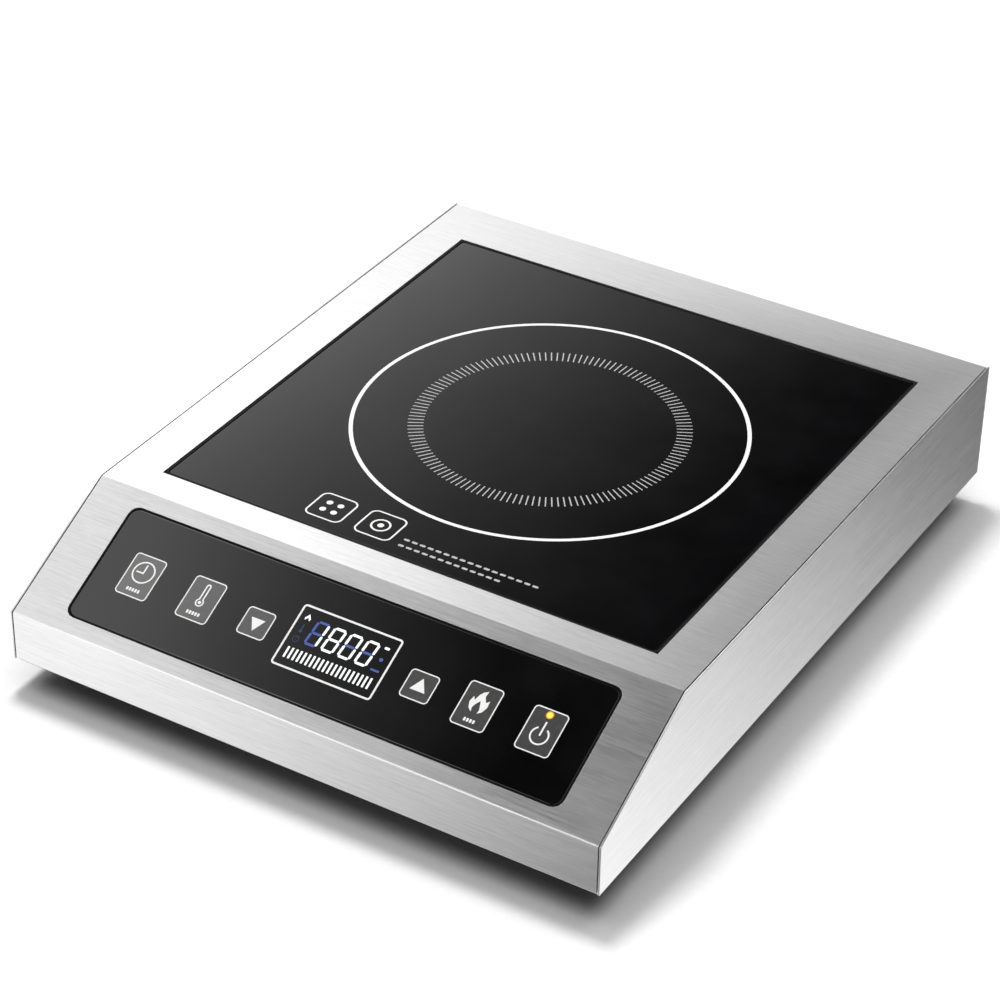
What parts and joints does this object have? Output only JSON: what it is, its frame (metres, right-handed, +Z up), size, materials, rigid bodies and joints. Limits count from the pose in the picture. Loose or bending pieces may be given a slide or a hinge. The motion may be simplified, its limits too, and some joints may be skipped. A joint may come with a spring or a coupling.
{
  "type": "electric induction cooktop",
  "caption": "Countertop induction cooker with a folded brushed-steel housing, a square black glass hob, a sloped touch panel and rubber feet.",
  "frame": {"origin": "counter height under the centre of the whole footprint, cord gland included", "axes": "+X to the user's right, +Y towards the back, +Z up; the sloped control panel faces -Y"},
  "size_m": [0.33, 0.419, 0.084],
  "materials": {
    "brushed_steel": "stainless, brushed in one direction",
    "zinc_sheet": "zinc-plated sheet, dull",
    "black_glass": "polished black glass-ceramic, opaque",
    "black_silicone": "smooth black silicone bead",
    "foot_rubber": "matt black rubber",
    "circuit_board": "green solder mask",
    "display_plastic": "dark display window",
    "amber_lens": "clear amber lens",
    "spring_steel": "bright spring wire",
    "screw_steel": "bright zinc-plated screws",
    "copper_wire": "enamelled copper wire",
    "black_plastic": "fine moulded black",
    "ferrite": "fired dark grey ferrite",
    "mica": "pressed mica sheet",
    "aluminium": "plain mill finish",
    "capacitor_film": "smooth dipped yellow",
    "white_plastic": "moulded white",
    "lead_insulation": "red silicone sleeve",
    "ribbon_insulation": "grey ribbon insulation"
  },
  "bodies": {
    "housing": {"base_plate": "zinc_sheet", "choke_coil": "copper_wire", "coil_bridge": "aluminium", "coil_carrier": "black_plastic", "coil_lead_inner": "lead_insulation", "coil_lead_outer": "lead_insulation", "coil_winding": "copper_wire", "control_board": "circuit_board", "control_glass": "black_glass", "control_seal": "black_silicone", "control_support": "zinc_sheet", "cord_gland": "black_plastic", "display_module": "display_plastic", "fan_frame_left": "black_plastic", "fan_frame_right": "black_plastic", "ferrite_bar_1": "ferrite", "ferrite_bar_2": "ferrite", "ferrite_bar_3": "ferrite", "ferrite_bar_4": "ferrite", "ferrite_bar_5": "ferrite", "ferrite_bar_6": "ferrite", "filter_capacitor": "capacitor_film", "foot_front_left": "foot_rubber", "foot_front_right": "foot_rubber", "foot_rear_left": "foot_rubber", "foot_rear_right": "foot_rubber", "foot_screw_front_left": "screw_steel", "foot_screw_front_right": "screw_steel", "foot_screw_rear_left": "screw_steel", "foot_screw_rear_right": "screw_steel", "gland_nut": "black_plastic", "glass_plate": "black_glass", "glass_seal": "black_silicone", "glass_support": "zinc_sheet", "heatsink": "aluminium", "mica_sheet": "mica", "power_board": "circuit_board", "power_lamp": "amber_lens", "power_transistor": "black_plastic", "rear_panel": "brushed_steel", "rear_screw_1": "screw_steel", "rear_screw_2": "screw_steel", "rear_screw_3": "screw_steel", "rectifier_bridge": "black_plastic", "resonant_capacitor": "capacitor_film", "ribbon_cable": "ribbon_insulation", "sensor_spring": "spring_steel", "side_panel_left": "brushed_steel", "side_panel_right": "brushed_steel", "temperature_sensor": "white_plastic", "terminal_block": "white_plastic", "top_cover": "brushed_steel", "touch_spring_down": "spring_steel", "touch_spring_heat_level": "spring_steel", "touch_spring_on_off": "spring_steel", "touch_spring_temperature": "spring_steel", "touch_spring_timer": "spring_steel", "touch_spring_up": "spring_steel"},
    "fan_rotor_left": {"fan_rotor_left": "black_plastic"},
    "fan_rotor_right": {"fan_rotor_right": "black_plastic"}
  },
  "joints": [
    {"name": "fan_left_spin", "type": "hinge", "parent": "housing", "child": "fan_rotor_left", "pos_m": [-0.06, -0.0845, 0.0295], "axis": [0, 0, 1], "continuous": true},
    {"name": "fan_right_spin", "type": "hinge", "parent": "housing", "child": "fan_rotor_right", "pos_m": [0.06, -0.0845, 0.0295], "axis": [0, 0, 1], "continuous": true}
  ]
}
